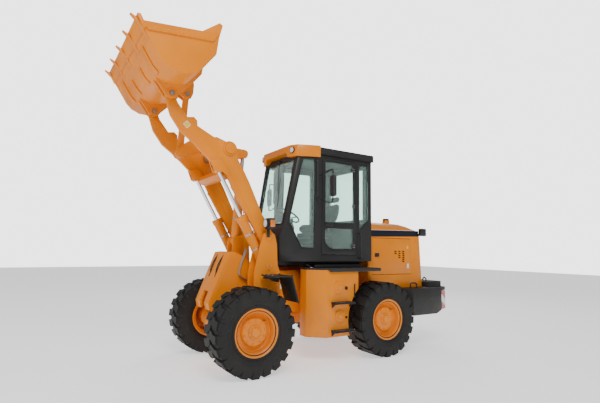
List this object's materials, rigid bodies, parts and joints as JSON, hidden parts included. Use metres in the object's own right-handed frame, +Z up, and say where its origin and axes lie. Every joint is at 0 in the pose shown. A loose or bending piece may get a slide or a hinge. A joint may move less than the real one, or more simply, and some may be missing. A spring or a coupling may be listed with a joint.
{
  "type": "wheel loader",
  "caption": "Articulated wheel loader with a raised Z-bar boom, rolled-back bucket, glazed cab, engine house and four large tyres.",
  "frame": {"origin": "on the ground under the articulation pivot, which is midway between the axles and within 25 mm of the middle of the bounding box at rest", "axes": "+Z up, -Y to the front where the bucket is, +X to the machine's left"},
  "size_m": [1.98, 5.364, 4.262],
  "materials": {
    "yellow_paint": "semi-gloss orange-yellow paint",
    "dark_grey_paint": "matt dark grey paint",
    "tyre_rubber": "matt rubber",
    "tinted_glass": "clear with a pale mint tint",
    "chromed_rod": "polished",
    "pin_steel": "turned steel",
    "cast_block": "black painted casting",
    "black_plastic": "moulded, matt",
    "seat_fabric": "woven cover"
  },
  "bodies": {
    "rear_body": {"back_glass_left": "tinted_glass", "back_glass_right": "tinted_glass", "cab_roof": "dark_grey_paint", "cab_shell": "dark_grey_paint", "counterweight": "dark_grey_paint", "dash_console": "black_plastic", "engine_block": "cast_block", "fuel_tank": "yellow_paint", "hood": "yellow_paint", "hydraulic_tank": "yellow_paint", "mirror_left": "black_plastic", "mirror_right": "black_plastic", "platform_left": "dark_grey_paint", "platform_right": "dark_grey_paint", "quarter_glass_left": "tinted_glass", "quarter_glass_right": "tinted_glass", "radiator": "cast_block", "rear_axle": "yellow_paint", "rear_frame": "yellow_paint", "rear_window": "tinted_glass", "roof_visor": "yellow_paint", "seat": "seat_fabric", "seat_base": "black_plastic", "side_window_right": "tinted_glass", "steering_wheel": "black_plastic", "windscreen": "tinted_glass"},
    "wheel_front_left": {"tyre_front_left": "tyre_rubber", "rim_front_left": "yellow_paint"},
    "wheel_front_right": {"tyre_front_right": "tyre_rubber", "rim_front_right": "yellow_paint"},
    "wheel_rear_left": {"tyre_rear_left": "tyre_rubber", "rim_rear_left": "yellow_paint"},
    "wheel_rear_right": {"tyre_rear_right": "tyre_rubber", "rim_rear_right": "yellow_paint"},
    "front_body": {"front_frame": "yellow_paint", "front_axle": "yellow_paint", "front_fender_left": "dark_grey_paint", "front_fender_right": "dark_grey_paint", "head_lamp_left": "black_plastic", "head_lamp_right": "black_plastic"},
    "boom_arms": {"boom": "yellow_paint"},
    "bucket_pins": {"bucket_pin_left": "pin_steel", "bucket_pin_right": "pin_steel"},
    "bucket_body": {"bucket": "yellow_paint"},
    "crank_shaft_body": {"crank_shaft": "pin_steel"},
    "bell_crank_body": {"bell_crank": "yellow_paint"},
    "link_pin_body": {"link_pin": "pin_steel"},
    "tie_link_body": {"tie_link": "yellow_paint"},
    "lift_cylinder_left": {"lift_barrel_left": "yellow_paint"},
    "lift_ram_left": {"lift_rod_left": "chromed_rod"},
    "lift_cylinder_right": {"lift_barrel_right": "yellow_paint"},
    "lift_ram_right": {"lift_rod_right": "chromed_rod"},
    "tilt_cylinder": {"tilt_barrel": "yellow_paint"},
    "tilt_ram": {"tilt_rod": "chromed_rod"},
    "left_cab_door": {"cab_door": "dark_grey_paint", "door_glass_upper": "tinted_glass", "door_glass_lower": "tinted_glass"},
    "left_engine_door": {"engine_door_left": "yellow_paint"},
    "right_engine_door": {"engine_door_right": "yellow_paint"}
  },
  "joints": [
    {"name": "steer", "type": "hinge", "parent": "rear_body", "child": "front_body", "pos_m": [0, 0, 0.85], "axis": [0, 0, 1], "range_deg": [-35, 35]},
    {"name": "wheel_front_left_spin", "type": "hinge", "parent": "front_body", "child": "wheel_front_left", "pos_m": [0.7535, -1.071, 0.5375], "axis": [1, 0, 0], "continuous": true},
    {"name": "wheel_front_right_spin", "type": "hinge", "parent": "front_body", "child": "wheel_front_right", "pos_m": [-0.7535, -1.071, 0.5375], "axis": [1, 0, 0], "continuous": true},
    {"name": "wheel_rear_left_spin", "type": "hinge", "parent": "rear_body", "child": "wheel_rear_left", "pos_m": [0.7535, 1.071, 0.5375], "axis": [1, 0, 0], "continuous": true},
    {"name": "wheel_rear_right_spin", "type": "hinge", "parent": "rear_body", "child": "wheel_rear_right", "pos_m": [-0.7535, 1.071, 0.5375], "axis": [1, 0, 0], "continuous": true},
    {"name": "lift", "type": "hinge", "parent": "front_body", "child": "boom_arms", "pos_m": [0, -0.72, 1.69], "axis": [-1, 0, 0], "range_deg": [-96, 0]},
    {"name": "bucket_level", "type": "hinge", "parent": "boom_arms", "child": "bucket_pins", "pos_m": [0, -2.1, 3.44], "axis": [1, 0, 0], "range_deg": [-77, 1]},
    {"name": "bucket_tilt", "type": "hinge", "parent": "bucket_pins", "child": "bucket_body", "pos_m": [0, -2.1, 3.44], "axis": [1, 0, 0], "range_deg": [0, 101]},
    {"name": "crank_level", "type": "hinge", "parent": "boom_arms", "child": "crank_shaft_body", "pos_m": [0, -1.3, 2.855], "axis": [1, 0, 0], "range_deg": [-1, 56]},
    {"name": "crank_turn", "type": "hinge", "parent": "crank_shaft_body", "child": "bell_crank_body", "pos_m": [0, -1.3, 2.855], "axis": [1, 0, 0], "range_deg": [-42, 1]},
    {"name": "link_level", "type": "hinge", "parent": "bucket_body", "child": "link_pin_body", "pos_m": [0, -1.776, 3.627], "axis": [1, 0, 0], "range_deg": [-1, 100]},
    {"name": "link_turn", "type": "hinge", "parent": "link_pin_body", "child": "tie_link_body", "pos_m": [0, -1.776, 3.627], "axis": [1, 0, 0], "range_deg": [-51, 1]},
    {"name": "lift_cylinder_left_swing", "type": "hinge", "parent": "front_body", "child": "lift_cylinder_left", "pos_m": [0.433, -0.72, 1.29], "axis": [1, 0, 0], "range_deg": [-1, 90]},
    {"name": "lift_ram_left_slide", "type": "slide", "parent": "lift_cylinder_left", "child": "lift_ram_left", "axis": [0, -0.4939, 0.8695], "range_m": [-0.58, 0.01]},
    {"name": "lift_cylinder_right_swing", "type": "hinge", "parent": "front_body", "child": "lift_cylinder_right", "pos_m": [-0.433, -0.72, 1.29], "axis": [1, 0, 0], "range_deg": [-1, 90]},
    {"name": "lift_ram_right_slide", "type": "slide", "parent": "lift_cylinder_right", "child": "lift_ram_right", "axis": [0, -0.4939, 0.8695], "range_m": [-0.58, 0.01]},
    {"name": "tilt_cylinder_swing", "type": "hinge", "parent": "front_body", "child": "tilt_cylinder", "pos_m": [0, -0.98, 1.65], "axis": [1, 0, 0], "range_deg": [-1, 118]},
    {"name": "tilt_ram_slide", "type": "slide", "parent": "tilt_cylinder", "child": "tilt_ram", "axis": [0, 0.0629, 0.998], "range_m": [-0.285, 0.005]},
    {"name": "cab_door_swing", "type": "hinge", "parent": "rear_body", "child": "left_cab_door", "pos_m": [0.61, 0.735, 2.18], "axis": [0, 0, 1], "range_deg": [0, 100]},
    {"name": "engine_door_left_swing", "type": "hinge", "parent": "rear_body", "child": "left_engine_door", "pos_m": [0.53, 2, 1.45], "axis": [0, 0, 1], "range_deg": [0, 90]},
    {"name": "engine_door_right_swing", "type": "hinge", "parent": "rear_body", "child": "right_engine_door", "pos_m": [-0.53, 2, 1.45], "axis": [0, 0, -1], "range_deg": [0, 90]}
  ],
  "couplings": [
    {"joint": "bucket_level", "follows": "lift", "ratio": 0.7917},
    {"joint": "crank_level", "follows": "lift", "ratio": -0.5702},
    {"joint": "crank_turn", "follows": "bucket_tilt", "ratio": -0.4027},
    {"joint": "link_level", "follows": "lift", "ratio": -1.0355},
    {"joint": "link_turn", "follows": "bucket_tilt", "ratio": -0.4963},
    {"joint": "lift_cylinder_left_swing", "follows": "lift", "ratio": -0.9184},
    {"joint": "lift_ram_left_slide", "follows": "lift", "m_per_rad": 0.3421},
    {"joint": "lift_cylinder_right_swing", "follows": "lift", "ratio": -0.9184},
    {"joint": "lift_ram_right_slide", "follows": "lift", "m_per_rad": 0.3421},
    {"joint": "tilt_cylinder_swing", "follows": "lift", "ratio": -1.2156},
    {"joint": "tilt_ram_slide", "follows": "bucket_tilt", "m_per_rad": -0.158}
  ]
}
